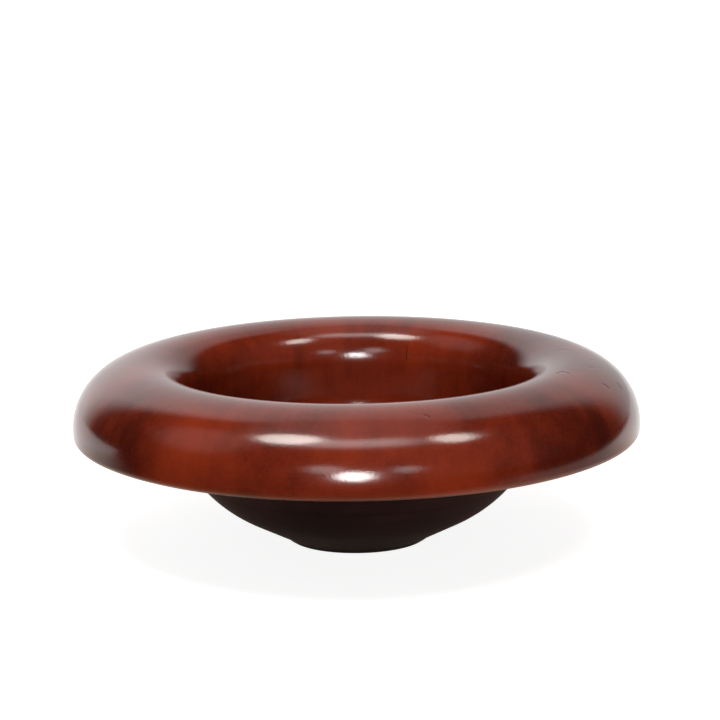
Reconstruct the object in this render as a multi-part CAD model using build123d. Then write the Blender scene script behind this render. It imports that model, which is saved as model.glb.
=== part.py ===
"""Centrepiece bowl with a fat rolled rim, turned from wood and lacquered.

Everything is turned round one upright axis. Each piece is a flat section, with X as its radius
and Z as its height, revolved once round Z. The origin is on the axis, at table level.

The bowl comes apart into four pieces:
  rolled_rim  the fat ring: crown, round outer face, tight lower lip, flat underside, throat
  bowl_body   the thin-walled bowl: well inside, round belly outside, spigot at its top edge
  foot_disc   the low tapered foot, with a peg that goes up into the body
  felt_pad    the round felt under the foot

The rim, the body and the foot are glued up first and turned together, so one outline runs
over all three. The joints then cut that outline into pieces.
"""

import os
from math import acos, asin, atan2, cos, degrees, hypot, radians, sin, sqrt, tan

from build123d import *

# ---------------------------------------------------------------- driving sizes (mm, degrees)
# The whole bowl
BOWL_DIAMETER = 400.0         # across the fattest part of the rim
BOWL_HEIGHT = 129.0           # table to crown, felt included

# The rim's section is arcs that run into each other, each with a radius and a turn
FACE_RADIUS = 43.5            # round outer face
FACE_RISE = 60.0              # how far the face turns above the rim's fattest line
FACE_FALL = 5.0               # how far it turns below that line
CROWN_OUTER_RADIUS = 53.6     # from the face up to the crown
CROWN_INNER_RADIUS = 48.0     # from the crown in towards the well
CROWN_INNER_TURN = 15.0
SHOULDER_RADIUS = 21.5        # the quick turn down into the throat
SHOULDER_TURN = 40.0
THROAT_RADIUS = 31.0          # the throat itself
THROAT_TURN = 24.0
WAIST_RADIUS = 50.0           # eases the throat into the nearly upright wall of the well
LIP_RADIUS = 5.3              # tight lower edge
LIP_TURN = 55.0
UNDERCUT_RADIUS = 22.0        # from the lip in under the rim
UNDERCUT_TURN = 15.0
UNDERSIDE_EASE_RADIUS = 60.0  # eases the undercut into the flat underside

# The well inside, and the belly outside it
WALL_LEAN = 1.0               # the well's wall leans out this far from upright
WELL_CORNER_RADIUS = 40.0     # from the wall round into the bottom
WELL_BOTTOM_RADIUS = 103.0    # wide round bottom, down to the flat floor
WELL_BOTTOM_TURN = 45.0
WELL_FLOOR_HEIGHT = 20.0      # table to the flat floor of the well
BELLY_RADIUS = 100.0          # one wide arc from the cone up to the rim
BASE_THICKNESS = 13.1         # from the well's floor down to the lowest point of that arc
WALL_THICKNESS = 6.0          # where the wall is thinnest, round the well's corner

# Foot and felt. The belly runs out into a cone, which ends at the top of the foot
FOOT_DIAMETER = 105.0         # across the top of the foot
FOOT_HEIGHT = 3.6             # table to the top of the foot
FOOT_FLARE = 14.0             # the foot's side is this much steeper than the cone
FOOT_COVE_RADIUS = 15.0       # soft inside corner between the cone and the foot's side
FELT_THICKNESS = 1.5
FELT_INSET = 2.0              # the felt stops this far inside the foot's edge

# Glued joints
SPIGOT_HEIGHT = 8.0           # the body's top edge stands this far up into the rim
SPIGOT_SHOULDER = 2.5         # ledge outside the spigot, under the rim
FOOT_JOINT_HEIGHT = 8.0       # table to the joint between foot and body
PEG_DIAMETER = 64.0           # the foot's peg
PEG_HEIGHT = 3.0
GLUE_GAP = 0.3                # round the spigot and the peg, and over the peg

SHORTEST_EDGE = 0.001         # a straight shorter than this is left out of the outline


# ---------------------------------------------------------------- helpers
def chain(start, heading, turns):
    """Arcs that run into each other from start. Each turn is a radius and a signed angle."""
    arcs = []
    point = Vector(*start)
    direction = Vector(cos(radians(heading)), sin(radians(heading)))
    for radius, angle in turns:
        arc = JernArc(start=point, tangent=direction, radius=radius, arc_size=angle)
        arcs.append(arc)
        point, direction = arc @ 1, arc % 1
    return arcs


def zone(*points):
    """Flat polygon in the section, from (radius, height) points."""
    return make_face(Polyline(*points, close=True))


def turned(flat_section):
    """Stand a flat section up on the X-Z plane and turn it once round Z."""
    return revolve(Plane.XZ * flat_section, Axis.Z, 360).solid()


# ---------------------------------------------------------------- the rim's surface
rim_radius = BOWL_DIAMETER / 2
fattest_height = (BOWL_HEIGHT - FACE_RADIUS * sin(radians(FACE_RISE))
                  - CROWN_OUTER_RADIUS * (1 - sin(radians(FACE_RISE))))

# From the fattest line over the crown to the top of the well's straight wall
over_the_rim = chain((rim_radius, fattest_height), 90, [
    (FACE_RADIUS, FACE_RISE),
    (CROWN_OUTER_RADIUS, 90 - FACE_RISE),
    (CROWN_INNER_RADIUS, CROWN_INNER_TURN),
    (SHOULDER_RADIUS, SHOULDER_TURN),
    (THROAT_RADIUS, THROAT_TURN),
    (WAIST_RADIUS, 90 - CROWN_INNER_TURN - SHOULDER_TURN - THROAT_TURN - WALL_LEAN),
])
wall_top = over_the_rim[-1] @ 1

# From the fattest line round the lip to the edge of the flat underside
under_the_rim = chain((rim_radius, fattest_height), -90, [
    (FACE_RADIUS, -FACE_FALL),
    (LIP_RADIUS, -LIP_TURN),
    (UNDERCUT_RADIUS, -UNDERCUT_TURN),
    (UNDERSIDE_EASE_RADIUS, -(90 - FACE_FALL - LIP_TURN - UNDERCUT_TURN)),
])
underside_edge = under_the_rim[-1] @ 1
underside_height = underside_edge.Y

# ---------------------------------------------------------------- the well and the belly
# From the flat floor the well rises on its bottom arc, which runs into its corner arc
corner_height = (WELL_FLOOR_HEIGHT + WELL_BOTTOM_RADIUS * (1 - cos(radians(WELL_BOTTOM_TURN)))
                 + WELL_CORNER_RADIUS * cos(radians(WELL_BOTTOM_TURN)))
wall_foot_height = corner_height - WELL_CORNER_RADIUS * sin(radians(WALL_LEAN))
wall_foot_radius = wall_top.X - (wall_top.Y - wall_foot_height) * tan(radians(WALL_LEAN))
corner_radius = wall_foot_radius - WELL_CORNER_RADIUS * cos(radians(WALL_LEAN))
in_the_well = chain((wall_foot_radius, wall_foot_height), -90 - WALL_LEAN, [
    (WELL_CORNER_RADIUS, -(90 - WALL_LEAN - WELL_BOTTOM_TURN)),
    (WELL_BOTTOM_RADIUS, -WELL_BOTTOM_TURN),
])
floor_edge = in_the_well[-1] @ 1

# The belly's arc clears the corner of the well by the thinnest wall
belly_height = WELL_FLOOR_HEIGHT - BASE_THICKNESS + BELLY_RADIUS
centres_apart = BELLY_RADIUS - WELL_CORNER_RADIUS - WALL_THICKNESS
belly_centre_radius = corner_radius - sqrt(centres_apart ** 2
                                           - (belly_height - corner_height) ** 2)


def belly(slope):
    """Point of the belly where its surface has this slope from the level."""
    return Vector(belly_centre_radius + BELLY_RADIUS * sin(radians(slope)),
                  belly_height - BELLY_RADIUS * cos(radians(slope)))


# The belly turns until it leans like the wall, or until it meets the rim's underside
slope_at_rim = degrees(acos((belly_height - underside_height) / BELLY_RADIUS))
belly_top = belly(min(90 - WALL_LEAN, slope_at_rim))
straight_wall = underside_height - belly_top.Y
neck = Vector(belly_top.X + straight_wall * tan(radians(WALL_LEAN)), underside_height)

# ---------------------------------------------------------------- the cone and the foot's side
# The cone is the line from the top of the foot that just touches the belly
foot_top = Vector(FOOT_DIAMETER / 2, FOOT_HEIGHT)
foot_out = foot_top.X - belly_centre_radius
foot_down = belly_height - foot_top.Y
cone_slope = (90 - degrees(asin(BELLY_RADIUS / hypot(foot_out, foot_down)))
              + degrees(atan2(foot_out, foot_down)))
flank_slope = cone_slope + FOOT_FLARE
cone_direction = Vector(cos(radians(cone_slope)), sin(radians(cone_slope)))
flank_direction = Vector(cos(radians(flank_slope)), sin(radians(flank_slope)))
foot_edge = foot_top - flank_direction * ((FOOT_HEIGHT - FELT_THICKNESS) / flank_direction.Y)
cove_reach = FOOT_COVE_RADIUS * tan(radians(FOOT_FLARE / 2))
cove_start = foot_top - flank_direction * cove_reach
cove_end = foot_top + cone_direction * cove_reach
belly_end = belly(cone_slope)

# ---------------------------------------------------------------- one outline over all pieces
outline = [
    Line((0, FELT_THICKNESS), foot_edge),
    Line(foot_edge, cove_start),
    TangentArc(cove_start, cove_end, tangent=flank_direction),
    Line(cove_end, belly_end),
    TangentArc(belly_end, belly_top, tangent=cone_direction),
    Line(neck, underside_edge),
    *under_the_rim,
    *over_the_rim,
    Line(wall_top, (wall_foot_radius, wall_foot_height)),
    *in_the_well,
    Line(floor_edge, (0, WELL_FLOOR_HEIGHT)),
    Line((0, WELL_FLOOR_HEIGHT), (0, FELT_THICKNESS)),
]
if straight_wall > SHORTEST_EDGE:
    outline.append(Line(belly_top, neck))
whole = make_face(outline)

# ---------------------------------------------------------------- the joints cut it apart
beyond = rim_radius + WALL_THICKNESS
spigot_radius = neck.X - SPIGOT_SHOULDER
spigot_top = underside_height + SPIGOT_HEIGHT
peg_radius = PEG_DIAMETER / 2
peg_top = FOOT_JOINT_HEIGHT + PEG_HEIGHT


def below_rim(clearance):
    """All that lies under the rim and inside its socket."""
    return zone((0, 0), (beyond, 0), (beyond, underside_height),
                (spigot_radius + clearance, underside_height),
                (spigot_radius + clearance, spigot_top), (0, spigot_top))


def below_body(side_clearance, top_clearance):
    """All that lies under the body and inside its peg hole."""
    return zone((0, 0), (beyond, 0), (beyond, FOOT_JOINT_HEIGHT),
                (peg_radius + side_clearance, FOOT_JOINT_HEIGHT),
                (peg_radius + side_clearance, peg_top + top_clearance),
                (0, peg_top + top_clearance))


felt_radius = foot_edge.X - FELT_INSET
sections = {
    "rolled_rim": whole - below_rim(GLUE_GAP),
    "bowl_body": (whole & below_rim(0)) - below_body(GLUE_GAP, GLUE_GAP),
    "foot_disc": whole & below_body(0, 0),
    "felt_pad": zone((0, 0), (felt_radius, 0), (felt_radius, FELT_THICKNESS),
                     (0, FELT_THICKNESS)),
}

os.makedirs("parts", exist_ok=True)
for name, flat_section in sections.items():
    piece = turned(flat_section)
    export_step(piece, f"parts/{name}.step")
    box = piece.bounding_box()
    print(f"{name}: {piece.volume / 1000:.0f} cm3, radius {box.max.X:.1f}, "
          f"{box.min.Z:.1f} to {box.max.Z:.1f} high")
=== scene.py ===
# %% [markdown]
# # A lacquered centrepiece bowl
#
# The bowl is turned from wood on a lathe. It has a fat rolled rim, a thin-walled body, a low foot
# and a round felt under the foot. Red-brown lacquer covers the rim and the inside of the well,
# and a darker brown covers everything underneath.
#
# A lathe makes every one of its shapes, so this lesson works as a turner does. It draws half of
# a section with a pencil, and then spins that line once round the axis.

# %% Load the frame
from math import acos, asin, atan2, cos, degrees, hypot, pi, radians, sin, sqrt, tan

import bpy
import numpy as np
from mathutils import Matrix, Vector


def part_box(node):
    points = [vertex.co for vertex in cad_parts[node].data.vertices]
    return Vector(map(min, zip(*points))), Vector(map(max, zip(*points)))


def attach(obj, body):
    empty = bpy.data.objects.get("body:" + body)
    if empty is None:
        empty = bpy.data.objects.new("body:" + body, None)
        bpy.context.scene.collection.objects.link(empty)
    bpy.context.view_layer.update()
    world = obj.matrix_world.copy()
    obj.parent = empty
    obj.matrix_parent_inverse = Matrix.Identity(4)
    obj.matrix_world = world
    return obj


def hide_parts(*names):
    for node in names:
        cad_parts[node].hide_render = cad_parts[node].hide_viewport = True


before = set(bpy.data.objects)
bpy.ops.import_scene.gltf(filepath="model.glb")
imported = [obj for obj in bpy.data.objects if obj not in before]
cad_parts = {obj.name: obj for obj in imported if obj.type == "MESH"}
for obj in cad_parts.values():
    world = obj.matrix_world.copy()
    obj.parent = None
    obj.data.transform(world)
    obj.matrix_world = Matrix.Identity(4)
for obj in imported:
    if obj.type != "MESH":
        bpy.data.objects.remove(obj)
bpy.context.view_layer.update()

print("nodes:", sorted(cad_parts))

# %% [markdown]
# ## The camera
#
# A long lens stands well back from the bowl and looks a little down at it. The tabletop isn't
# quite level in the view, which a small roll about the line of sight gives. The camera comes
# first, so that every later step can be looked at through it.

# %% Camera
CAMERA_ELEVATION = radians(12.87)
CAMERA_DISTANCE = 2.294
CAMERA_LENS = 162.2
SENSOR_WIDTH = 36.0
AIM_HEIGHT = 0.0842
TILT_UP = radians(1.066)
TURN_RIGHT = radians(0.077)
ROLL = radians(-0.82)

back = Vector((0, -cos(CAMERA_ELEVATION), sin(CAMERA_ELEVATION)))
bpy.ops.object.camera_add(location=Vector((0, 0, AIM_HEIGHT)) + back * CAMERA_DISTANCE)
camera = bpy.context.object
camera.name = "Camera"
camera.data.lens = CAMERA_LENS
camera.data.sensor_width = SENSOR_WIDTH
camera.rotation_mode = "QUATERNION"
camera.rotation_quaternion = (
    (-back).to_track_quat("-Z", "Y").to_matrix()
    @ Matrix.Rotation(TILT_UP, 3, "X")
    @ Matrix.Rotation(-TURN_RIGHT, 3, "Y")
    @ Matrix.Rotation(ROLL, 3, "Z")
).to_quaternion()
bpy.context.scene.camera = camera
print("camera stands", CAMERA_DISTANCE, "m from the bowl")

# %% [markdown]
# ## The sizes of the section
#
# Heights are measured from the table and radii from the axis. The frame gives the sizes that
# the pieces share: how wide and high the bowl is, and where its joints are. The rest are the
# radius of each arc of the section, and how far it turns.

# %% Sizes from the frame
rim_low, rim_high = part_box("rolled_rim")
body_low, body_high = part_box("bowl_body")
_, foot_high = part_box("foot_disc")
felt_low, felt_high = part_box("felt_pad")

rim_radius = (rim_high.x - rim_low.x) / 2
bowl_height = rim_high.z
underside_height = rim_low.z
spigot_top = body_high.z
neck_radius = (body_high.x - body_low.x) / 2
foot_joint_height = body_low.z
peg_top = foot_high.z
felt_top = felt_high.z
felt_radius = (felt_high.x - felt_low.x) / 2
print("rim radius", round(rim_radius, 5), "height", round(bowl_height, 5),
      "underside", round(underside_height, 5), "neck", round(neck_radius, 5))

# %% The arcs of the section
FACE_RADIUS = 0.0435          # round outer face
FACE_RISE = 60.0              # degrees that it turns above the rim's fattest line
FACE_FALL = 5.0               # and below it
CROWN_OUTER_RADIUS = 0.0536
CROWN_INNER_RADIUS = 0.048
CROWN_INNER_TURN = 15.0
SHOULDER_RADIUS = 0.0215      # quick turn down into the throat
SHOULDER_TURN = 40.0
THROAT_RADIUS = 0.031
THROAT_TURN = 24.0
WAIST_RADIUS = 0.050          # eases the throat into the well's nearly upright wall
LIP_RADIUS = 0.0053           # tight lower edge
LIP_TURN = 55.0
UNDERCUT_RADIUS = 0.022
UNDERCUT_TURN = 15.0
UNDERSIDE_EASE_RADIUS = 0.060
WALL_LEAN = 1.0               # degrees that the wall leans out from upright
WELL_CORNER_RADIUS = 0.040
WELL_BOTTOM_RADIUS = 0.103
WELL_BOTTOM_TURN = 45.0
WELL_FLOOR_HEIGHT = 0.020
BELLY_RADIUS = 0.100
BASE_THICKNESS = 0.0131       # from the well's floor down to the lowest point of the belly's arc
WALL_THICKNESS = 0.006        # at its thinnest, round the well's corner
FOOT_RADIUS = 0.0525          # at the top of the foot
FOOT_HEIGHT = 0.0036
FOOT_FLARE = 14.0             # the foot's side is this much steeper than the cone above it
FOOT_COVE_RADIUS = 0.015
SPIGOT_SHOULDER = 0.0025
PEG_RADIUS = 0.032
GLUE_GAP = 0.0003

ease_turn = 90 - FACE_FALL - LIP_TURN - UNDERCUT_TURN
waist_turn = 90 - CROWN_INNER_TURN - SHOULDER_TURN - THROAT_TURN - WALL_LEAN
UNDER_THE_RIM = ((FACE_RADIUS, FACE_FALL), (LIP_RADIUS, LIP_TURN),
                 (UNDERCUT_RADIUS, UNDERCUT_TURN), (UNDERSIDE_EASE_RADIUS, ease_turn))
OVER_THE_RIM = ((FACE_RADIUS, FACE_RISE), (CROWN_OUTER_RADIUS, 90 - FACE_RISE),
                (CROWN_INNER_RADIUS, CROWN_INNER_TURN), (SHOULDER_RADIUS, SHOULDER_TURN),
                (THROAT_RADIUS, THROAT_TURN), (WAIST_RADIUS, waist_turn))
fattest_height = (bowl_height - FACE_RADIUS * sin(radians(FACE_RISE))
                  - CROWN_OUTER_RADIUS * (1 - sin(radians(FACE_RISE))))
print("fattest line", round(fattest_height, 5), "above the table")

# %% [markdown]
# ## A pencil and a lathe
#
# A turned profile is a chain of arcs and straights. Each arc starts where the last one ended and
# leaves in the direction in which that one was heading, so the surface has no corner there.
#
# Blender can draw this in edit mode. One selected vertex that is spun round a centre leaves an
# arc of edges behind it, and one that is extruded leaves a straight. A curve object would do as
# well, but there an arc has to be fitted with handles, and here its radius and turn are what is
# written down. When the line is done, a Screw modifier with no rise takes it once round the axis,
# as the lathe does with the wood. Spinning all of it in edit mode gives the same mesh, slower.

# %% The pencil
ARC_STEP = radians(2.0)
DOT_SIZE = 0.002


class Pencil:
    """Draws arcs and straights in the X-Z plane, X as the radius and Z as the height."""

    def __init__(self, name, radius, height, heading=0.0):
        bpy.ops.object.select_all(action="DESELECT")
        bpy.ops.mesh.primitive_plane_add(size=DOT_SIZE)
        self.piece = bpy.context.object
        self.piece.name = name
        bpy.ops.object.mode_set(mode="EDIT")
        bpy.ops.mesh.select_all(action="SELECT")
        bpy.ops.mesh.merge(type="CENTER")
        bpy.ops.transform.translate(value=(radius, 0, height))
        self.point = Vector((radius, 0, height))
        self.heading = radians(heading)

    def arc(self, radius, turn):
        """An arc of this radius that turns by this many degrees. Left is positive."""
        turn = radians(turn)
        side = self.heading + (pi / 2 if turn > 0 else -pi / 2)
        centre = self.point + radius * Vector((cos(side), 0, sin(side)))
        steps = max(2, round(abs(turn) / ARC_STEP))
        bpy.ops.mesh.spin(steps=steps, angle=turn, center=centre, axis=(0, 1, 0))
        self.point = centre + Matrix.Rotation(-turn, 3, "Y") @ (self.point - centre)
        self.heading += turn

    def straight(self, radius, height, steps=1):
        """A straight to this radius and height, in equal steps."""
        stride = (Vector((radius, 0, height)) - self.point) / steps
        for _ in range(steps):
            bpy.ops.mesh.extrude_vertices_move(TRANSFORM_OT_translate={"value": stride})
        self.point = Vector((radius, 0, height))
        self.heading = atan2(stride.z, stride.x)


print("an arc is drawn in steps of", round(degrees(ARC_STEP), 1), "degrees")

# %% The lathe
ROUND_STEPS = 480
MERGE_DISTANCE = 1e-6
CREASE = radians(35)


def turn_round(pencil, closed=False):
    """Takes the drawn line once round Z. A closed line is a ring, and joins its own start."""
    piece = pencil.piece
    if closed:
        bpy.ops.mesh.select_all(action="SELECT")
        bpy.ops.mesh.remove_doubles(threshold=MERGE_DISTANCE)
    bpy.ops.object.mode_set(mode="OBJECT")
    turn = piece.modifiers.new("turn", "SCREW")
    turn.axis = "Z"
    turn.angle = 2 * pi
    turn.steps = turn.render_steps = ROUND_STEPS
    turn.use_merge_vertices = True
    turn.merge_threshold = MERGE_DISTANCE
    bpy.ops.object.modifier_apply(modifier=turn.name)
    bpy.ops.object.mode_set(mode="EDIT")
    bpy.ops.mesh.select_all(action="SELECT")
    bpy.ops.mesh.remove_doubles(threshold=MERGE_DISTANCE)
    bpy.ops.mesh.normals_make_consistent(inside=False)
    bpy.ops.object.mode_set(mode="OBJECT")
    bpy.ops.object.shade_smooth_by_angle(angle=CREASE)
    print(piece.name, "has", len(piece.data.polygons), "faces, and is",
          [round(d, 4) for d in piece.dimensions], "m")
    return piece


print("a full turn takes", ROUND_STEPS, "steps")

# %% [markdown]
# ## The rolled rim
#
# On the real bowl this is one thick ring. The turner starts at its fattest line, rolls the gouge
# up over the crown and down into the throat, and then works the tight lip and the undercut from
# below. The pencil goes round the other way, in one pass: up from the flat underside, round the
# lip, over the crown, down the wall to the joint, and back through the socket that the body's
# spigot is glued into.

# %% Measure the rim's underside
def lip_reach():
    """How far the arcs below the fattest line run in and down from it."""
    slope, reach, drop = 0.0, 0.0, 0.0
    for radius, turn in UNDER_THE_RIM:
        reach += radius * (cos(radians(slope)) - cos(radians(slope + turn)))
        drop += radius * (sin(radians(slope + turn)) - sin(radians(slope)))
        slope += turn
    return reach, drop


underside_reach, underside_drop = lip_reach()
underside_edge_radius = rim_radius - underside_reach
socket_radius = neck_radius - SPIGOT_SHOULDER + GLUE_GAP
print("flat underside ends at radius", round(underside_edge_radius, 5),
      "and lies", round(fattest_height - underside_drop - underside_height, 6), "off the frame's")

# %% Draw and turn the rim
wall_tangent = tan(radians(WALL_LEAN))

pencil = Pencil("rolled_rim_turned", socket_radius, underside_height)
pencil.straight(underside_edge_radius, underside_height, steps=16)
for radius, turn in (*reversed(UNDER_THE_RIM), *OVER_THE_RIM):
    pencil.arc(radius, turn)
wall_top = pencil.point.copy()
joint_radius = wall_top.x - (wall_top.z - spigot_top) * wall_tangent
pencil.straight(joint_radius, spigot_top, steps=10)
pencil.straight(socket_radius, spigot_top)
pencil.straight(socket_radius, underside_height, steps=3)
rim = turn_round(pencil, closed=True)
print("straight wall starts at", round(wall_top.x, 5), round(wall_top.z, 5))

# %% [markdown]
# ## The bowl's body
#
# The body is turned from a second blank, because a ring this fat would waste most of a board.
# Inside, the well's nearly upright wall turns through a round corner into a wide, shallow bottom.
# Outside, the belly is a single wide arc that leaves the wall thinnest round that corner, where a
# turner listens for the change in the tool's note. Near the foot the belly runs out into a cone.

# %% Measure the well, the belly and the cone
corner_height = (WELL_FLOOR_HEIGHT + WELL_BOTTOM_RADIUS * (1 - cos(radians(WELL_BOTTOM_TURN)))
                 + WELL_CORNER_RADIUS * cos(radians(WELL_BOTTOM_TURN)))
wall_foot_height = corner_height - WELL_CORNER_RADIUS * sin(radians(WALL_LEAN))
wall_foot_radius = wall_top.x - (wall_top.z - wall_foot_height) * wall_tangent
corner_radius = wall_foot_radius - WELL_CORNER_RADIUS * cos(radians(WALL_LEAN))

belly_height = WELL_FLOOR_HEIGHT - BASE_THICKNESS + BELLY_RADIUS
centres_apart = BELLY_RADIUS - WELL_CORNER_RADIUS - WALL_THICKNESS
belly_centre_radius = corner_radius - sqrt(centres_apart ** 2
                                           - (belly_height - corner_height) ** 2)

foot_out = FOOT_RADIUS - belly_centre_radius
foot_down = belly_height - FOOT_HEIGHT
cone_slope = (90 - degrees(asin(BELLY_RADIUS / hypot(foot_out, foot_down)))
              + degrees(atan2(foot_out, foot_down)))
cone_tangent = tan(radians(cone_slope))
cone_joint_radius = FOOT_RADIUS + (foot_joint_height - FOOT_HEIGHT) / cone_tangent
belly_start = Vector((belly_centre_radius + BELLY_RADIUS * sin(radians(cone_slope)), 0,
                      belly_height - BELLY_RADIUS * cos(radians(cone_slope))))
belly_turn = degrees(acos((belly_height - underside_height) / BELLY_RADIUS)) - cone_slope
print("cone slope", round(cone_slope, 2), "degrees; belly starts at",
      round(belly_start.x, 5), round(belly_start.z, 5), "and turns", round(belly_turn, 2))

# %% Draw and turn the body
spigot_radius = neck_radius - SPIGOT_SHOULDER
peg_hole_radius = PEG_RADIUS + GLUE_GAP
peg_hole_top = peg_top + GLUE_GAP

pencil = Pencil("bowl_body_turned", 0, peg_hole_top)
pencil.straight(peg_hole_radius, peg_hole_top, steps=4)
pencil.straight(peg_hole_radius, foot_joint_height)
pencil.straight(cone_joint_radius, foot_joint_height, steps=4)
pencil.straight(belly_start.x, belly_start.z, steps=10)
pencil.arc(BELLY_RADIUS, belly_turn)
print("belly meets the rim", round(pencil.point.x - neck_radius, 7), "off the frame's neck")
pencil.straight(spigot_radius, underside_height)
pencil.straight(spigot_radius, spigot_top, steps=3)
pencil.straight(joint_radius, spigot_top)
pencil.straight(wall_foot_radius, wall_foot_height, steps=4)
pencil.arc(WELL_CORNER_RADIUS, -(90 - WALL_LEAN - WELL_BOTTOM_TURN))
pencil.arc(WELL_BOTTOM_RADIUS, -WELL_BOTTOM_TURN)
pencil.straight(0, WELL_FLOOR_HEIGHT, steps=12)
body = turn_round(pencil)

# %% [markdown]
# ## The foot and its felt
#
# The foot is a low disc with a peg that goes up into the body. Its side stands a little steeper
# than the cone above it, and a soft cove joins the two. The felt is a plain disc with a rounded
# edge, stuck under the foot so that the lacquer never touches the table.

# %% Draw and turn the foot
flank_slope = cone_slope + FOOT_FLARE
foot_edge_radius = FOOT_RADIUS - (FOOT_HEIGHT - felt_top) / tan(radians(flank_slope))
cove_reach = FOOT_COVE_RADIUS * tan(radians(FOOT_FLARE / 2))

pencil = Pencil("foot_disc_turned", 0, felt_top)
pencil.straight(foot_edge_radius, felt_top, steps=6)
pencil.straight(FOOT_RADIUS - cove_reach * cos(radians(flank_slope)),
                FOOT_HEIGHT - cove_reach * sin(radians(flank_slope)))
pencil.arc(FOOT_COVE_RADIUS, -FOOT_FLARE)
pencil.straight(cone_joint_radius, foot_joint_height, steps=4)
pencil.straight(PEG_RADIUS, foot_joint_height, steps=4)
pencil.straight(PEG_RADIUS, peg_top)
pencil.straight(0, peg_top, steps=4)
foot = turn_round(pencil)

# %% Draw and turn the felt
FELT_EDGE_RADIUS = 0.0005

pencil = Pencil("felt_pad_cut", 0, 0)
pencil.straight(felt_radius - FELT_EDGE_RADIUS, 0, steps=16)
pencil.arc(FELT_EDGE_RADIUS, 90)
pencil.straight(felt_radius, felt_top)
pencil.straight(0, felt_top, steps=16)
felt = turn_round(pencil)

# %% [markdown]
# ## Nicks in the crown
#
# A bowl that is used gets knocked. A few nicks lie on the crown, most of them on the right. Each
# is a shallow groove, as a rule about five millimetres long, and an eighth to a quarter of a
# millimetre deep. Its sides are soft, because lacquer dents before it chips.
#
# The faces round a nick are cut small first. Then the points along its path are pushed in, and
# proportional editing takes their neighbours along. A bump map would show a dark line too, but
# here the edge of each groove catches the light.

# %% Where the nicks are
# Depth and half width in metres, then the path as azimuths in degrees and radii in metres
NICKS = (
    (0.00025, 0.0020, ((66.5, 0.1510), (69.0, 0.1525), (67.5, 0.1575))),
    (0.00012, 0.0016, ((97.5, 0.1460), (98.0, 0.1495), (96.0, 0.1510))),
    (0.00022, 0.0015, ((78.5, 0.1660), (80.0, 0.1675))),
    (0.00012, 0.0013, ((86.5, 0.1655), (88.5, 0.1675))),
    (0.00022, 0.0014, ((70.5, 0.1795), (71.0, 0.1815), (71.0, 0.1835))),
    (0.00022, 0.0014, ((78.0, 0.1850), (77.5, 0.1865), (77.5, 0.1885))),
    (0.00022, 0.0014, ((15.0, 0.1715), (15.5, 0.1725), (16.0, 0.1745))),
    (0.00012, 0.0014, ((12.0, 0.1670), (12.5, 0.1680), (13.0, 0.1705))),
    (0.00012, 0.0012, ((14.0, 0.1650), (14.5, 0.1655))),
)


def heading(azimuth, elevation):
    """Unit vector to this azimuth, in degrees to the right of the front, and elevation."""
    azimuth, elevation = radians(azimuth), radians(elevation)
    return Vector((sin(azimuth) * cos(elevation), -cos(azimuth) * cos(elevation),
                   sin(elevation)))


def down_to_the_crown(azimuth, radius):
    """The point of the rim straight below this place."""
    above = heading(azimuth, 0) * radius + Vector((0, 0, 2 * bowl_height))
    return rim.ray_cast(above, Vector((0, 0, -1)))[1]


def length(path):
    return sum((end - start).length for start, end in zip(path, path[1:]))


paths = [[down_to_the_crown(*place) for place in path] for _, _, path in NICKS]
print(len(paths), "nicks, the longest", round(1000 * max(map(length, paths)), 1), "mm")

# %% Cut the faces round them small
NICK_MARGIN = 0.0020          # beyond the edge of the groove
NICK_CUTS = 5


def read(items, name, width=3):
    """One property of all the mesh's vertices or faces, as an array."""
    values = np.empty(len(items) * width)
    items.foreach_get(name, values)
    return values.reshape(-1, width)


def away_from(points, path):
    """How far each point lies from a path of straights."""
    nearest = np.full(len(points), 1.0)
    for start, end in zip(path, path[1:]):
        start, along = np.array(start), np.array(end - start)
        share = np.clip((points - start) @ along / (along @ along), 0, 1)
        nearest = np.minimum(nearest, np.linalg.norm(points - start - share[:, None] * along,
                                                     axis=1))
    return nearest


def select_on_rim(items, chosen):
    """Leaves the rim in edit mode with only these vertices or faces selected."""
    bpy.ops.mesh.select_all(action="DESELECT")
    bpy.ops.object.mode_set(mode="OBJECT")
    items.foreach_set("select", chosen)
    bpy.ops.object.mode_set(mode="EDIT")


bpy.ops.object.select_all(action="DESELECT")
bpy.context.view_layer.objects.active = rim
rim.select_set(True)
centres = read(rim.data.polygons, "center")
near = np.zeros(len(centres), dtype=bool)
for (_, half_width, _), path in zip(NICKS, paths):
    near |= away_from(centres, path) < half_width + NICK_MARGIN

bpy.ops.object.mode_set(mode="EDIT")
bpy.ops.mesh.select_mode(type="FACE")
select_on_rim(rim.data.polygons, near)
bpy.ops.mesh.subdivide(number_cuts=NICK_CUTS)
print(int(near.sum()), "faces are cut small")

# %% Press the nicks in
NICK_CORE = 0.0004            # points this near the path are pushed all the way

bpy.ops.mesh.select_mode(type="VERT")
for (depth, half_width, _), path in zip(NICKS, paths):
    bpy.ops.object.mode_set(mode="OBJECT")
    core = away_from(read(rim.data.vertices, "co"), path) < NICK_CORE
    bpy.ops.object.mode_set(mode="EDIT")
    select_on_rim(rim.data.vertices, core)
    bpy.ops.transform.shrink_fatten(value=-depth, use_proportional_edit=True,
                                    proportional_edit_falloff="SMOOTH",
                                    proportional_size=half_width)
bpy.ops.mesh.select_all(action="DESELECT")
bpy.ops.object.mode_set(mode="OBJECT")
print("the rim now has", len(rim.data.polygons), "faces")

# %% Mark the nicks for their painted shade
deepest_nick = max(depth for depth, _, _ in NICKS)
points = read(rim.data.vertices, "co")
worn = np.zeros(len(points))
for (depth, half_width, _), path in zip(NICKS, paths):
    middle = np.clip(1 - away_from(points, path) / half_width, 0, 1)
    worn = np.maximum(worn, depth / deepest_nick * middle)
rim.data.attributes.new("nick", "FLOAT", "POINT").data.foreach_set("value", worn)
print(int((worn > 0).sum()), "points lie in a nick")

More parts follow.
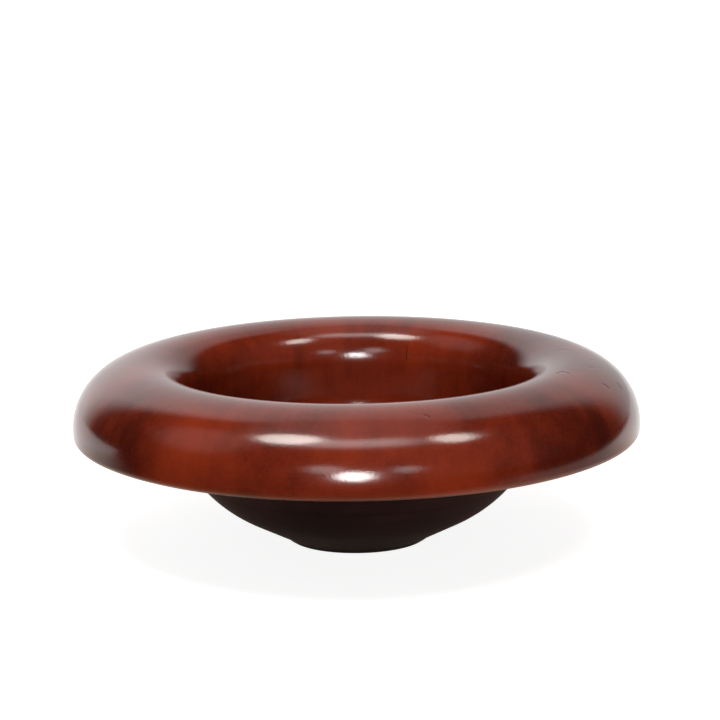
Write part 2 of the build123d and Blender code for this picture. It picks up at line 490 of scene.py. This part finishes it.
# %% [markdown]
# ## How the finishes are written
#
# Every finish is worked out from each point's own place on the bowl, so nothing is stretched and
# no picture is needed. A few helpers keep the node trees short: each adds one kind of node to the
# tree that its values come from, and hands back what that node gives. Colour tells the thickness
# of the lacquer, roughness tells how well it is polished, and bump gives the skin of the film.

# %% Helpers for numbers
def feed(socket, value):
    """Puts a number, a tuple or another node's output into a socket."""
    if hasattr(value, "is_output"):
        socket.id_data.links.new(value, socket)
    else:
        socket.default_value = value


def work_out(kind, operation, values):
    """The outputs of a Math or a Vector Math node."""
    tree = next(value.id_data for value in values if hasattr(value, "is_output"))
    node = tree.nodes.new(kind)
    node.operation = operation
    for socket, value in zip(node.inputs, values):
        feed(socket, value)
    return node.outputs


def calculate(operation, *values):
    return work_out("ShaderNodeMath", operation, values)["Value"]


def times(first, *others):
    for other in others:
        first = calculate("MULTIPLY", first, other)
    return first


def plus(first, *others):
    for other in others:
        first = calculate("ADD", first, other)
    return first


def minus(first, second):
    return calculate("SUBTRACT", first, second)


def fade(value, start, end):
    """0 before start and 1 after end, with a smooth change between them."""
    node = value.id_data.nodes.new("ShaderNodeMapRange")
    node.interpolation_type = "SMOOTHSTEP"
    feed(node.inputs["Value"], value)
    node.inputs["From Min"].default_value = start
    node.inputs["From Max"].default_value = end
    return node.outputs["Result"]


# %% Helpers for places and directions
def reach_along(vector, way):
    """How far a vector reaches in this direction."""
    return work_out("ShaderNodeVectorMath", "DOT_PRODUCT", (vector, way))["Value"]


def apart(vector, point):
    """How far a point lies from another."""
    return work_out("ShaderNodeVectorMath", "DISTANCE", (vector, point))["Value"]


def joined(x, y, z):
    """A vector from three values."""
    node = x.id_data.nodes.new("ShaderNodeCombineXYZ")
    for socket, value in zip(node.inputs, (x, y, z)):
        feed(socket, value)
    return node.outputs["Vector"]


def from_axis(x, y):
    """Distance from the bowl's axis."""
    return calculate("SQRT", plus(times(x, x), times(y, y)))


# %% Helpers for patterns and materials
# A Mix node has sockets of the same name for numbers, vectors and colours: these are the colours
MIX_FIRST, MIX_SECOND, MIX_RESULT = 6, 7, 2


def noise(vector, scale, detail=2.0, roughness=0.5):
    """Cloudy values from 0 to 1. The scale is in clouds per metre."""
    node = vector.id_data.nodes.new("ShaderNodeTexNoise")
    feed(node.inputs["Vector"], vector)
    node.inputs["Scale"].default_value = scale
    node.inputs["Detail"].default_value = detail
    node.inputs["Roughness"].default_value = roughness
    return node.outputs["Fac"]


def raised(height, metres, under=None):
    """A bump that is this many metres high where the height is 1, on top of another bump."""
    node = height.id_data.nodes.new("ShaderNodeBump")
    node.inputs["Distance"].default_value = metres
    feed(node.inputs["Height"], height)
    if under is not None:
        feed(node.inputs["Normal"], under)
    return node.outputs["Normal"]


def mix_colours(share, first, second):
    """The first colour where share is 0, and the second where it is 1."""
    node = share.id_data.nodes.new("ShaderNodeMix")
    node.data_type = "RGBA"
    feed(node.inputs["Factor"], share)
    feed(node.inputs[MIX_FIRST], first)
    feed(node.inputs[MIX_SECOND], second)
    return node.outputs[MIX_RESULT]


def new_material(name, constants):
    """A material and its shader, with these constants set."""
    material = bpy.data.materials.new(name)
    material.use_nodes = True
    shader = material.node_tree.nodes["Principled BSDF"]
    for socket, value in constants.items():
        shader.inputs[socket].default_value = value
    return material, shader


def places(shader):
    """Each point's place, and its X, Y and Z."""
    nodes = shader.id_data.nodes
    place = nodes.new("ShaderNodeTexCoord").outputs["Object"]
    split = nodes.new("ShaderNodeSeparateXYZ")
    feed(split.inputs["Vector"], place)
    return place, split.outputs


# %% [markdown]
# ## Red-brown lacquer
#
# The rim and the well are sprayed with several coats of a coloured lacquer and then polished. The
# colour lies in the film, so it is deeper where the film is thick and more orange where it is
# thin. It runs a little before it sets, and that leaves faint upright streaks. Both ends of the
# face are darkened with painted shade, where they turn away from the lamps.
#
# The clear gloss on top is the shader's coat, and only the coat mirrors the room: a second mirror
# under it would put a grey veil over the red. The film has a fine orange-peel skin and a slow
# waviness, which fray the edges of the highlights. Two hairline cracks stand in the throat at the
# back, and the nicks are darkened with painted shade.

# %% How thin the film is
RED_GLOSS = {"Specular IOR Level": 0.0, "Coat Weight": 1.0, "Coat Roughness": 0.15,
             "Coat IOR": 1.5}
CLOUDS_PER_METRE = 11.0
CLOUDS_SHARE = 0.68
SPECKS_PER_METRE = 420.0
SPECKS_SHARE = 0.14
STREAKS_ROUND = 13.0          # upright streaks per radian
STREAKS_SHARE = 0.13
STREAK_BREAKS = 1.2           # a metre of height counts as this many radians
STREAKS_FROM = 0.06           # the film doesn't run on the well's bottom
STREAKS_FULL = 0.12

red_lacquer, shader = new_material("red_brown_lacquer", RED_GLOSS)
place, (x, y, z) = places(shader)
radius = from_axis(x, y)
round_it = joined(calculate("DIVIDE", x, radius), calculate("DIVIDE", y, radius),
                  times(z, STREAK_BREAKS))
clouds = noise(place, CLOUDS_PER_METRE, detail=4.0, roughness=0.6)
specks = noise(place, SPECKS_PER_METRE, detail=3.0, roughness=0.7)
streaks = times(fade(radius, STREAKS_FROM, STREAKS_FULL),
                minus(noise(round_it, STREAKS_ROUND), 0.5))
thin_film_and_shade = plus(times(clouds, CLOUDS_SHARE), times(streaks, STREAKS_SHARE),
            times(specks, SPECKS_SHARE))
print("clouds", round(1000 / CLOUDS_PER_METRE), "mm and specks",
      round(1000 / SPECKS_PER_METRE, 1), "mm across")

# %% Painted shade at both ends of the face
# Painted shade: a soft dark patch at each end of the rim's face pulls the red towards the
# thick-film colour
SHADE_POOLS = ((-51, 0.195, 0.093), (51, 0.195, 0.097))  # azimuth, distance from the axis, height
SHADE_POOL_REACH = 0.066
SHADE_POOL_DEPTH = 0.18
FULLY_THICK = 0.21
FULLY_THIN = 0.59
THICK_FILM_AND_SHADE = (0.048, 0.0048, 0.0021, 1)
THIN_FILM = (0.205, 0.0230, 0.0068, 1)

for azimuth, out, height in SHADE_POOLS:
    middle = heading(azimuth, 0) * out + Vector((0, 0, height))
    painted_shade = fade(apart(place, middle), SHADE_POOL_REACH, 0.0)
    thin_film_and_shade = minus(thin_film_and_shade, times(painted_shade, SHADE_POOL_DEPTH))
film = mix_colours(fade(thin_film_and_shade, FULLY_THICK, FULLY_THIN), THICK_FILM_AND_SHADE, THIN_FILM)
print("red lacquer from", THICK_FILM_AND_SHADE[:3], "where it is thick to", THIN_FILM[:3])

# %% Painted shade in the nicks, and the hairline cracks
# One dark colour serves both the painted shade in the nicks and the hairline cracks
SHADE_AND_CRACK_COLOUR = (0.020, 0.006, 0.004, 1)
NICK_SHADE = 0.8
NICK_SHADE_STARTS = 0.25             # how deep a point lies in a nick where the painted shade starts
NICK_SHADE_FULL = 0.85
CRACKS = ((162.0, 0.102, 0.1155, 0.75),  # azimuth, foot, head, strength
          (165.6, 0.107, 0.1130, 0.45))
CRACK_DARK = 0.0002           # half widths, in metres
CRACK_WIDE = 0.0008
CRACK_FOOT_FADE = 0.002
CRACK_HEAD_FADE = 0.004
THROAT_INSIDE = (0.08, 0.09)  # the cracks fade in here, out from the axis
THROAT_OUTSIDE = (0.148, 0.144)

nick = shader.id_data.nodes.new("ShaderNodeAttribute")
nick.attribute_name = "nick"
nick_shade_and_cracks = times(fade(nick.outputs["Fac"], NICK_SHADE_STARTS, NICK_SHADE_FULL), NICK_SHADE)
for azimuth, foot_of_crack, head_of_crack, strength in CRACKS:
    off_line = calculate("ABSOLUTE", reach_along(place, heading(azimuth + 90, 0)))
    out = reach_along(place, heading(azimuth, 0))
    crack = times(minus(strength, fade(off_line, CRACK_DARK, CRACK_WIDE)),
                  fade(z, foot_of_crack, foot_of_crack + CRACK_FOOT_FADE),
                  fade(z, head_of_crack, head_of_crack - CRACK_HEAD_FADE),
                  fade(out, *THROAT_OUTSIDE), fade(out, *THROAT_INSIDE))
    nick_shade_and_cracks = calculate("MAXIMUM", nick_shade_and_cracks, crack)
feed(shader.inputs["Base Color"], mix_colours(nick_shade_and_cracks, film, SHADE_AND_CRACK_COLOUR))
print(len(CRACKS), "hairline cracks")

# %% Its polish and its skin
POLISH = 0.38                 # roughness of the film under the gloss, where it is smoothest
POLISH_VARIES = 0.25
WAVES_PER_METRE = 22.0
WAVE_HEIGHT = 0.00012
PEEL_PER_METRE = 560.0
PEEL_HEIGHT = 0.00004

feed(shader.inputs["Roughness"], plus(POLISH, times(clouds, POLISH_VARIES)))
waves = raised(noise(place, WAVES_PER_METRE), WAVE_HEIGHT)
skin = raised(noise(place, PEEL_PER_METRE), PEEL_HEIGHT, under=waves)
feed(shader.inputs["Normal"], skin)
feed(shader.inputs["Coat Normal"], skin)
print("waves", round(1000 * WAVE_HEIGHT, 3), "mm and orange peel",
      round(1000 * PEEL_HEIGHT, 3), "mm high")

# %% [markdown]
# ## Dark brown lacquer
#
# Underneath, the belly, the foot and the flat under the rim have one thin coat of nearly black
# lacquer, straight off the lathe. Fine rings from the gouge show through it, and it is satin
# rather than glossy. The rings depend on height and radius only, as the tool leaves them.

# %% Dark brown lacquer
SATIN = {"Specular IOR Level": 0.07}
DARKEST = (0.0085, 0.0046, 0.0046, 1)
LIGHTEST = (0.0230, 0.0105, 0.0100, 1)
RINGS_PER_METRE = 420.0
RINGS_SHARE = 0.4
RING_HEIGHT = 0.00003
STAINS_PER_METRE = 16.0
STAINS_SHARE = 0.6
FULLY_DARK = 0.32
FULLY_LIGHT = 0.68
SATIN_ROUGHNESS = 0.34
SATIN_VARIES = 0.22
GRAIN_PER_METRE = 500.0
GRAIN_HEIGHT = 0.00001

dark_lacquer, shader = new_material("dark_brown_lacquer", SATIN)
place, (x, y, z) = places(shader)
rings = noise(joined(from_axis(x, y), z, 0.0), RINGS_PER_METRE, roughness=0.6)
stains = noise(place, STAINS_PER_METRE, detail=4.0, roughness=0.6)
share = plus(times(rings, RINGS_SHARE), times(stains, STAINS_SHARE))
feed(shader.inputs["Base Color"],
     mix_colours(fade(share, FULLY_DARK, FULLY_LIGHT), DARKEST, LIGHTEST))
feed(shader.inputs["Roughness"], plus(SATIN_ROUGHNESS, times(stains, SATIN_VARIES)))
feed(shader.inputs["Normal"], raised(noise(place, GRAIN_PER_METRE), GRAIN_HEIGHT,
                                     under=raised(rings, RING_HEIGHT)))
print("dark lacquer with", RINGS_PER_METRE / 1000, "rings to the millimetre")

# %% [markdown]
# ## Black felt
#
# The felt is pressed wool, about one and a half millimetres thick. Its fibres lie every way in
# the plane, so it is a tangle of fine short streaks, without a shine but with a soft bloom at a
# low angle. Sheen gives the bloom.

# %% Black felt
WOOL = {"Specular IOR Level": 0.1, "Sheen Weight": 0.25, "Sheen Roughness": 0.5}
WOOL_DARK = (0.006, 0.006, 0.006, 1)
WOOL_LIGHT = (0.022, 0.021, 0.020, 1)
DEEP_IN_WOOL = 0.4
TOP_OF_WOOL = 0.75
FIBRES_PER_METRE = 1400.0
FIBRE_STRETCH = 0.35
FIBRE_HEIGHT = 0.0003
WOOL_ROUGHNESS = 0.8
WOOL_VARIES = 0.18

black_felt, shader = new_material("black_felt", WOOL)
_, (x, y, z) = places(shader)
tangle = calculate("MAXIMUM", *(
    noise(way, FIBRES_PER_METRE, detail=3.0, roughness=0.7)
    for way in (joined(times(x, FIBRE_STRETCH), y, z), joined(x, times(y, FIBRE_STRETCH), z))))
feed(shader.inputs["Base Color"],
     mix_colours(fade(tangle, DEEP_IN_WOOL, TOP_OF_WOOL), WOOL_DARK, WOOL_LIGHT))
feed(shader.inputs["Roughness"], plus(WOOL_ROUGHNESS, times(tangle, WOOL_VARIES)))
feed(shader.inputs["Normal"], raised(tangle, FIBRE_HEIGHT))
print("felt", round(2000 * felt_radius, 1), "mm across")

# %% [markdown]
# ## Dress the pieces
#
# The red stops at the lip's lower edge, where the rim's underside starts, and at the joint inside
# the well it goes on from the rim to the body. So each of those two pieces has two finishes,
# shared out by where its faces are. Each piece then takes the place of its solid in the frame.

# %% Share out the finishes
FACES_UP = 0.5                # the well's floor is where a face's normal rises more than this


def dress(piece, *materials):
    for material in materials:
        piece.data.materials.append(material)


dress(rim, red_lacquer, dark_lacquer)
dress(body, dark_lacquer, red_lacquer)
dress(foot, dark_lacquer)
dress(felt, black_felt)

underneath = underside_height + MERGE_DISTANCE
for face in rim.data.polygons:
    face.material_index = int(face.center.z < underneath)
well_bottom = WELL_FLOOR_HEIGHT - MERGE_DISTANCE
for face in body.data.polygons:
    outward = face.normal.x * face.center.x + face.normal.y * face.center.y
    in_well = face.center.z > well_bottom and (outward < 0 or face.normal.z > FACES_UP)
    face.material_index = int(in_well)
print(sum(face.material_index for face in body.data.polygons), "faces of the body are red")

# %% Put the pieces in the solids' place
for piece, node, slot in ((rim, "rolled_rim", "red_brown_lacquer"),
                          (body, "bowl_body", "dark_brown_lacquer"),
                          (foot, "foot_disc", "dark_brown_lacquer"),
                          (felt, "felt_pad", "black_felt")):
    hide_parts(node)
    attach(piece, "root")
    print(piece.name, "stands for", node)

# %% [markdown]
# ## The table
#
# The bowl stands on a sheet of pale paper whose front edge runs slantwise under the rim, and which
# ends a little to the right. Beyond it the studio is dark, and that is why the lower half of the
# rim's face stays deep red: it mirrors the dark, and a white table there would turn it pink.
# Behind the bowl the paper sweeps up to the bright backdrop, so mirrored rays find it white
# there. Close round the bowl the paper glows warm: painted light that stands in for the red light
# that the rim throws down, and its reflection draws the light brown line along the lip.
#
# The camera sees white everywhere, with the bowl's shadow on it. Light Path tells the rays
# apart. The paper's glow tops its own lit colour up to white, so the shadow stays.

# %% The paper and the dark floor
TABLE_WIDTH = 60
TABLE_MATT = {"Specular IOR Level": 0.0, "Roughness": 0.8}
PAPER = (0.55, 0.54, 0.53, 1)
DARK_FLOOR = (0.03, 0.025, 0.02, 1)
EDGE_TURN = radians(20)       # the front edge slants this much
EDGE_AHEAD = 0.15             # and runs this far in front of the bowl's axis
RIGHT_EDGE = 0.60
RIGHT_SLANT = 0.65
EDGE_SOFTNESS = 0.08

bpy.ops.object.select_all(action="DESELECT")
bpy.ops.mesh.primitive_plane_add(size=TABLE_WIDTH)
table = bpy.context.object
table.name = "tabletop"
table_material, shader = new_material("white_paper", TABLE_MATT)
table.data.materials.append(table_material)

_, (x, y, z) = places(shader)
rays = shader.id_data.nodes.new("ShaderNodeLightPath").outputs
to_the_back = plus(times(x, sin(EDGE_TURN)), times(y, cos(EDGE_TURN)))
to_the_right = minus(x, times(y, RIGHT_SLANT))
on_paper = times(fade(to_the_back, -EDGE_AHEAD - EDGE_SOFTNESS, -EDGE_AHEAD + EDGE_SOFTNESS),
                 fade(to_the_right, RIGHT_EDGE + EDGE_SOFTNESS, RIGHT_EDGE - EDGE_SOFTNESS))
white_here = calculate("MAXIMUM", on_paper, rays["Is Camera Ray"])
feed(shader.inputs["Base Color"], mix_colours(white_here, DARK_FLOOR, PAPER))
print("table is", [round(d) for d in table.dimensions], "m")

# %% What the paper glows with, a painted warm glow included
PAPER_TOP_UP = 0.84
SWEEP_FROM = -0.15            # Y where the paper starts to sweep up
SWEEP_FULL = 0.35
# Painted light: near the bowl the paper glows warm, in place of the red light that the rim throws
# down
PAINTED_GLOW_COLOUR = (1.0, 0.50, 0.27, 1)
PAINTED_GLOW_STRENGTH = 0.50
PAINTED_GLOW_INSIDE = (0.10, 0.16)  # the ring of painted warm glow fades in here, out from the axis
PAINTED_GLOW_OUTSIDE = (0.42, 0.19)
PLAIN_WHITE = (1, 1, 1, 1)

out = from_axis(x, y)
painted_glow = times(fade(out, *PAINTED_GLOW_OUTSIDE), fade(out, *PAINTED_GLOW_INSIDE), PAINTED_GLOW_STRENGTH)
far = times(on_paper, fade(y, SWEEP_FROM, SWEEP_FULL))
white = calculate("MAXIMUM", rays["Is Camera Ray"], times(far, rays["Is Glossy Ray"]))
feed(shader.inputs["Emission Color"], mix_colours(white, PAINTED_GLOW_COLOUR, PLAIN_WHITE))
feed(shader.inputs["Emission Strength"],
     calculate("MAXIMUM", painted_glow, times(white, PAPER_TOP_UP)))
print("the warm ring is from", PAINTED_GLOW_INSIDE[0], "to", PAINTED_GLOW_OUTSIDE[0], "m out")

# %% [markdown]
# ## The lamps
#
# Two big softboxes hang high in front of the bowl, one to each side. Their mirror images are the
# two long streaks on the rim's face, and again, smaller, inside the well. They are a little warm.
# A white lamp just under the camera gives the round spots. Each lamp is placed by the direction
# and distance from which it shines and by how bright it looks, because that is what a glossy
# surface shows.

# %% Lamps
AIM = Vector((0, 0, fattest_height))
WARM_WHITE = (1.0, 0.94, 0.87)
WHITE = (1.0, 1.0, 1.0)


def softbox(name, azimuth, elevation, distance, width, height, brightness, colour):
    """A flat lamp that faces the bowl. Its size is in degrees, as seen from there."""
    way = heading(azimuth, elevation)
    bpy.ops.object.light_add(type="AREA", location=AIM + way * distance)
    lamp = bpy.context.object
    lamp.name = name
    lamp.data.shape = "ELLIPSE"
    lamp.data.size = 2 * distance * tan(radians(width / 2))
    lamp.data.size_y = 2 * distance * tan(radians(height / 2))
    lamp.data.energy = brightness * pi * lamp.data.size * lamp.data.size_y
    lamp.data.color = colour
    lamp.rotation_mode = "QUATERNION"
    lamp.rotation_quaternion = (-way).to_track_quat("-Z", "Y")
    lamp.visible_camera = False
    print(name, "is", round(lamp.data.size, 2), "by", round(lamp.data.size_y, 2), "m, and gives",
          round(lamp.data.energy, 1), "W")


softbox("left_softbox", azimuth=-45, elevation=63, distance=1.5, width=18, height=18,
        brightness=12, colour=WARM_WHITE)
softbox("right_softbox", azimuth=53, elevation=54, distance=1.2, width=13, height=14,
        brightness=11, colour=WARM_WHITE)
softbox("front_lamp", azimuth=-1, elevation=7.5, distance=2.1, width=14, height=15,
        brightness=26, colour=WHITE)

# %% [markdown]
# ## The room
#
# The rest of the room is painted on the world, by direction: a white backdrop behind the bowl
# that is brighter on the left, a grey ceiling, a soft bright band overhead between the softboxes,
# a grey screen on the left, two small bright patches beside the front lamp, a faint glow on the
# right and a little light from everywhere. The dark gaps between them draw the dark shapes at the
# two ends of the rim. The camera doesn't see any of this. It sees white. Lamps could do the same,
# but soft edges are easier on the world.

# %% Directions in the room
world = bpy.data.worlds.new("studio")
bpy.context.scene.world = world
world.use_nodes = True
nodes = world.node_tree.nodes

view = nodes.new("ShaderNodeTexCoord").outputs["Generated"]
flattened = work_out("ShaderNodeVectorMath", "MULTIPLY", (view, (1, 1, 0)))["Vector"]
level_view = work_out("ShaderNodeVectorMath", "NORMALIZE", (flattened,))["Vector"]
upward = reach_along(view, Vector((0, 0, 1)))
rightward = reach_along(view, Vector((1, 0, 0)))


def above(start, full):
    """0 at the first elevation and 1 at the second, in degrees."""
    return fade(upward, sin(radians(start)), sin(radians(full)))


def near_way(vector, way, edge, full):
    """0 this many degrees away from a direction, and 1 from where it is full."""
    return fade(reach_along(vector, way), cos(radians(edge)), cos(radians(full)))


print("directions take", len(nodes), "nodes")

# %% Backdrop, ceiling and the band overhead
BACKDROP_AZIMUTH = 178
BACKDROP_EDGE = 50            # degrees to each side
BACKDROP_FULL = 28
BACKDROP_MIDDLE = 0.84
BACKDROP_SLANT = 0.95         # so much darker towards the right
BACKDROP_LEAST = 0.74
BACKDROP_ENDS = (58, 74)      # elevations
CEILING_STARTS = (62, 76)
CEILING_MIDDLE = 0.8
CEILING_SLANT = 0.9
CEILING_LIGHT = 0.75
OVERHEAD_STARTS = (54, 66)
OVERHEAD_ENDS = (79, 69)
OVERHEAD_AZIMUTH = -6
OVERHEAD_EDGE = 62
OVERHEAD_FULL = 30
OVERHEAD_LIGHT = 4.4

backdrop = times(
    near_way(level_view, heading(BACKDROP_AZIMUTH, 0), BACKDROP_EDGE, BACKDROP_FULL),
    calculate("MAXIMUM", BACKDROP_LEAST,
              minus(BACKDROP_MIDDLE, times(rightward, BACKDROP_SLANT))),
    minus(1.0, above(*BACKDROP_ENDS)))
ceiling = times(above(*CEILING_STARTS), minus(CEILING_MIDDLE, times(rightward, CEILING_SLANT)),
                CEILING_LIGHT)
overhead = times(
    above(*OVERHEAD_STARTS), above(*OVERHEAD_ENDS),
    near_way(level_view, heading(OVERHEAD_AZIMUTH, 0), OVERHEAD_EDGE, OVERHEAD_FULL),
    OVERHEAD_LIGHT)
print("backdrop, ceiling and overhead bring it to", len(nodes), "nodes")

# %% Screen, patches and the light from everywhere
SCREEN = (-82, 44, 16, 8, 0.5)  # azimuth, elevation, radius, softness, strength
PATCHES = ((-13, 20, 5, 4, 4.0), (20, 17, 4, 3, 4.0))
RIGHT_GLOW = (40, 20, 40, 20, 0.08)
EVERYWHERE = 0.02


def glow(azimuth, elevation, radius, softness, strength):
    """A round patch of light with soft edges, in degrees."""
    return times(near_way(view, heading(azimuth, elevation), radius + softness,
                          radius - softness), strength)


light = plus(backdrop, ceiling, overhead,
             *(glow(*patch) for patch in (SCREEN, *PATCHES, RIGHT_GLOW)), EVERYWHERE)
sight = nodes.new("ShaderNodeLightPath").outputs["Is Camera Ray"]
background = nodes["Background"]
feed(background.inputs["Color"], mix_colours(sight, light, PLAIN_WHITE))
background.inputs["Strength"].default_value = 1.0
print("the room has", len(nodes), "nodes")

# %% Settings
bpy.context.scene.view_settings.view_transform = "Standard"
print("colours go out as", bpy.context.scene.view_settings.view_transform)
